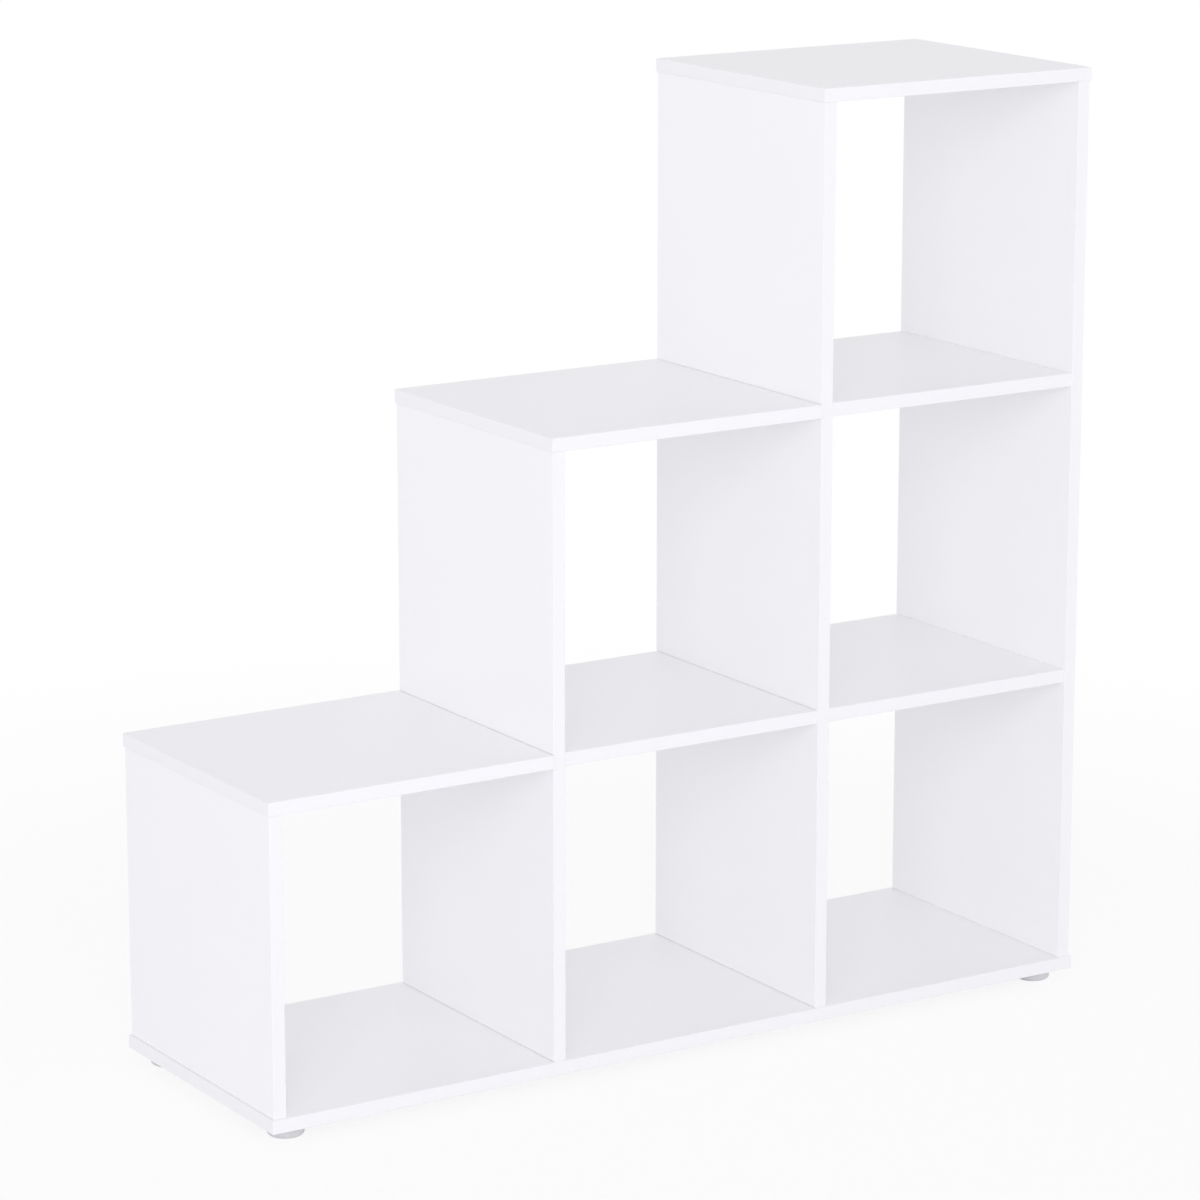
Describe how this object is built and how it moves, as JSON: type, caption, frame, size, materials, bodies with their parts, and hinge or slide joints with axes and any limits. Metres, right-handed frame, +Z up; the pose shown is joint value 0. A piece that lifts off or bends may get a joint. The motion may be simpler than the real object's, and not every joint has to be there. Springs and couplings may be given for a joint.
{
  "type": "staircase bookshelf",
  "caption": "Free-standing stepped bookshelf of white boards: open cells in columns that rise like stairs to one side, on low round glides.",
  "frame": {"origin": "on the floor, under the middle of the base board", "axes": "+X along the front towards the tall column, +Y from the open front to the open back, +Z up"},
  "size_m": [1.046, 0.33, 1.055],
  "materials": {
    "white_board": "chipboard faced with white melamine, fine satin texture",
    "white_edging": "thin white edging strip, satin, with eased arrises",
    "foot_plastic": "moulded milky white plastic",
    "cap_plastic": "moulded white plastic",
    "beech": "plain turned beech",
    "zinc_casting": "bare zinc die casting",
    "plated_steel": "bright zinc plating"
  },
  "bodies": {
    "root": {"base_board": "white_board", "left_side": "white_board", "low_divider": "white_board", "tall_divider": "white_board", "right_side": "white_board", "low_top": "white_board", "middle_top": "white_board", "high_top": "white_board", "middle_shelf": "white_board", "lower_right_shelf": "white_board", "upper_right_shelf": "white_board", "base_board_edging": "white_edging", "left_side_edging": "white_edging", "low_divider_edging": "white_edging", "tall_divider_edging": "white_edging", "right_side_edging": "white_edging", "low_top_edging": "white_edging", "middle_top_edging": "white_edging", "high_top_edging": "white_edging", "middle_shelf_edging": "white_edging", "lower_right_shelf_edging": "white_edging", "upper_right_shelf_edging": "white_edging", "foot_front_left": "foot_plastic", "foot_front_right": "foot_plastic", "foot_back_left": "foot_plastic", "foot_back_right": "foot_plastic", "dowels": "beech", "cam_bolts": "plated_steel", "divider_bolts": "plated_steel", "cam_locks": "zinc_casting", "cam_caps": "cap_plastic", "base_screws": "plated_steel", "foot_screws": "plated_steel"}
  },
  "joints": []
}
